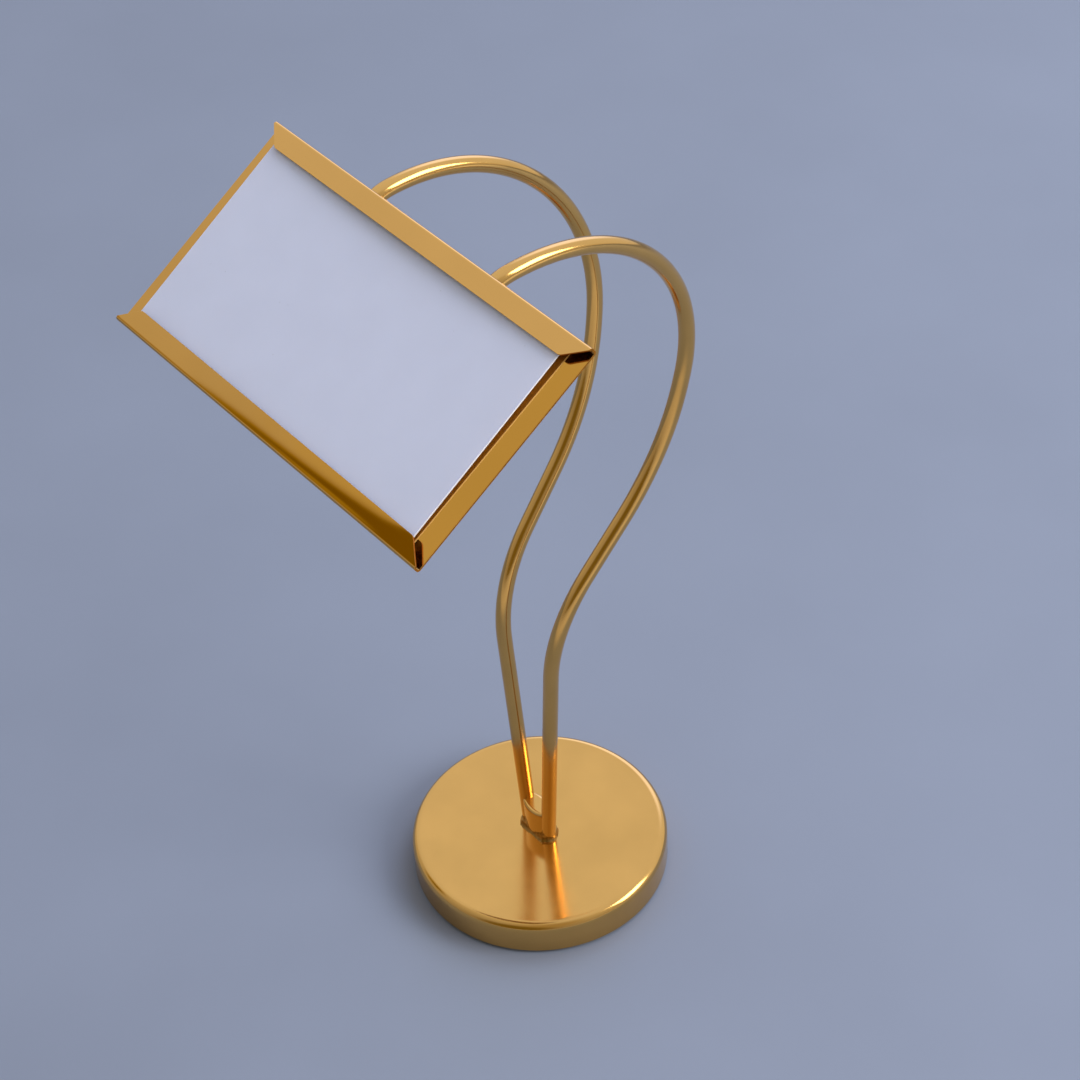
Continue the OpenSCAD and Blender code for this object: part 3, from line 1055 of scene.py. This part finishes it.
# Soft patches of the room that the metal mirrors: where each lies, the degrees out to which it
# is full and at which it is gone, its tone and its strength
ROOM_PATCHES = (
    ((-0.53, 0.76, 0.38), 6, 26, "#C5CFFF", 2.6),
    ((0.58, -0.44, 0.62), 8, 30, "#B1A689", 1),
    ((0.49, -0.84, 0.24), 14, 34, "#7C6E30", 1),
    ((-0.595, -0.41, 0.692), 3, 6.5, "#CDC59B", 1),
    ((-0.64, -0.58, 0.51), 7, 12.5, "#A49027", 1),
    ((-0.598, -0.567, 0.568), 2, 7, "#7C6500", 1),
)


def lay_table(scene, finish):
    """Lays the floor, which isn't part of the object."""
    half = 3.0
    bm = bmesh.new()
    bmesh.ops.create_grid(bm, x_segments=8, y_segments=8, size=half)
    mesh = bpy.data.meshes.new("table_top")
    bm.to_mesh(mesh)
    bm.free()
    mesh.materials.append(stone_table(finish))
    table = bpy.data.objects.new("table_top", mesh)
    scene.collection.objects.link(table)


def soft_lamp(scene, name, location, width, height, power, code):
    """A soft studio lamp: a glowing rectangle, aimed at the middle of the holder."""
    light = bpy.data.lights.new(name, "AREA")
    light.shape = "RECTANGLE"
    light.size = width
    light.size_y = height
    light.energy = power
    light.color = linear(code)
    lamp = bpy.data.objects.new(name, light)
    middle = Vector((0, -0.02, 0.12))
    look = (middle - Vector(location)).to_track_quat("-Z", "Y")
    lamp.matrix_world = Matrix.Translation(location) @ look.to_matrix().to_4x4()
    scene.collection.objects.link(lamp)
    return lamp


def facing(tree, place, towards, start, stop, **fields):
    """How far the room turns towards a direction, from 0 at one cosine to 1 at another."""
    near = add(tree, "ShaderNodeVectorMath", {0: place, 1: Vector(towards).normalized()},
               operation="DOT_PRODUCT")
    return add(tree, "ShaderNodeMapRange", {"Value": near.outputs["Value"], "From Min": start,
                                            "From Max": stop}, **fields)


def pale_room(scene):
    """Surrounds the holder with a pale room, lighter on one side, with its soft patches."""
    world = bpy.data.worlds.new("pale_room")
    world.use_nodes = True
    tree = world.node_tree
    tree.nodes.clear()
    place = add(tree, "ShaderNodeTexCoord").outputs["Generated"]
    share = facing(tree, place, BRIGHTEST, -1.0, 1.0)
    room = add(tree, "ShaderNodeValToRGB", {"Fac": share},
               [(position, linear(code)) for position, code in ROOM_TONES]).outputs["Color"]
    for towards, full, gone, code, strength in ROOM_PATCHES:
        share = facing(tree, place, towards, math.cos(math.radians(gone)),
                       math.cos(math.radians(full)), interpolation_type="SMOOTHSTEP")
        tone = [v * strength for v in linear(code)]
        room = add(tree, "ShaderNodeMix", {0: share, 6: room, 7: rgba(tone)},
                   data_type="RGBA").outputs[2]
    glow = add(tree, "ShaderNodeBackground", {"Color": room})
    add(tree, "ShaderNodeOutputWorld", {"Surface": glow})
    scene.world = world


def set_camera(scene):
    """Sets the camera at the photograph's viewing angle, which was solved from the tray's edges,
    the round base and the rods."""
    lens = bpy.data.cameras.new("camera")
    lens.sensor_width = 36.0
    lens.lens = 89.676
    location = (0.343598, -0.254798, 0.508430)
    azimuth, elevation, roll = 0.92217, 0.75598, -0.06274
    to = Vector((math.cos(elevation) * math.sin(azimuth),
                 -math.cos(elevation) * math.cos(azimuth), math.sin(elevation)))
    right = Vector((math.cos(azimuth), math.sin(azimuth), 0))
    up = right.cross(-to)
    across = math.cos(roll) * right + math.sin(roll) * up
    upright = -math.sin(roll) * right + math.cos(roll) * up
    turn = Matrix((across, upright, to)).transposed().to_4x4()
    camera = bpy.data.objects.new("camera", lens)
    camera.matrix_world = Matrix.Translation(location) @ turn
    scene.collection.objects.link(camera)
    scene.camera = camera


class CARDHOLDER_OT_stage(bpy.types.Operator):
    """Lay the floor, light it softly and set the camera."""

    bl_idname = "cardholder.stage"
    bl_label = "Stage"

    def execute(self, context):
        scene = context.scene
        lay_table(scene, scene.card_holder.finish)
        soft_lamp(scene, "window_behind", (0.86, 0.70, 0.77), 0.55, 0.65, 7.0, "#FFFFFF")
        for name, location, size, power, code in DAYLIGHT:
            lamp = soft_lamp(scene, name, location, size, size, power, code)
            lamp.visible_glossy = False
        pale_room(scene)
        scene.view_settings.view_transform = "Standard"
        set_camera(scene)
        return {"FINISHED"}


# The panel and the run

class CARDHOLDER_PT_panel(bpy.types.Panel):
    """Sizes, colours and steps of the card holder."""

    bl_idname = "CARDHOLDER_PT_panel"
    bl_label = "Place Card Holder"
    bl_space_type = "VIEW_3D"
    bl_region_type = "UI"
    bl_category = "Card Holder"

    def draw(self, context):
        holder = context.scene.card_holder
        for group in (holder.rods, holder.tray, holder.base, holder.card, holder.finish):
            column = self.layout.column(align=True)
            for name in group.bl_rna.properties.keys():
                if name not in ("rna_type", "name"):
                    column.prop(group, name)
        for operator in OPERATORS:
            self.layout.operator(operator.bl_idname)


OPERATORS = (CARDHOLDER_OT_rods, CARDHOLDER_OT_tray, CARDHOLDER_OT_base, CARDHOLDER_OT_card,
             CARDHOLDER_OT_stage)
CLASSES = (RodSizes, TraySizes, BaseSizes, CardSizes, Finishes, HolderSettings, *OPERATORS,
           CARDHOLDER_PT_panel)


def register():
    """Adds the classes and the scene's settings."""
    for cls in CLASSES:
        bpy.utils.register_class(cls)
    bpy.types.Scene.card_holder = PointerProperty(type=HolderSettings)


def unregister():
    """Takes the classes and the settings away again."""
    del bpy.types.Scene.card_holder
    for cls in reversed(CLASSES):
        bpy.utils.unregister_class(cls)


def main():
    """Builds every piece in order."""
    register()
    bpy.ops.cardholder.rods()
    bpy.ops.cardholder.tray()
    bpy.ops.cardholder.base()
    bpy.ops.cardholder.card()
    bpy.ops.cardholder.stage()


if __name__ == "__main__":
    main()
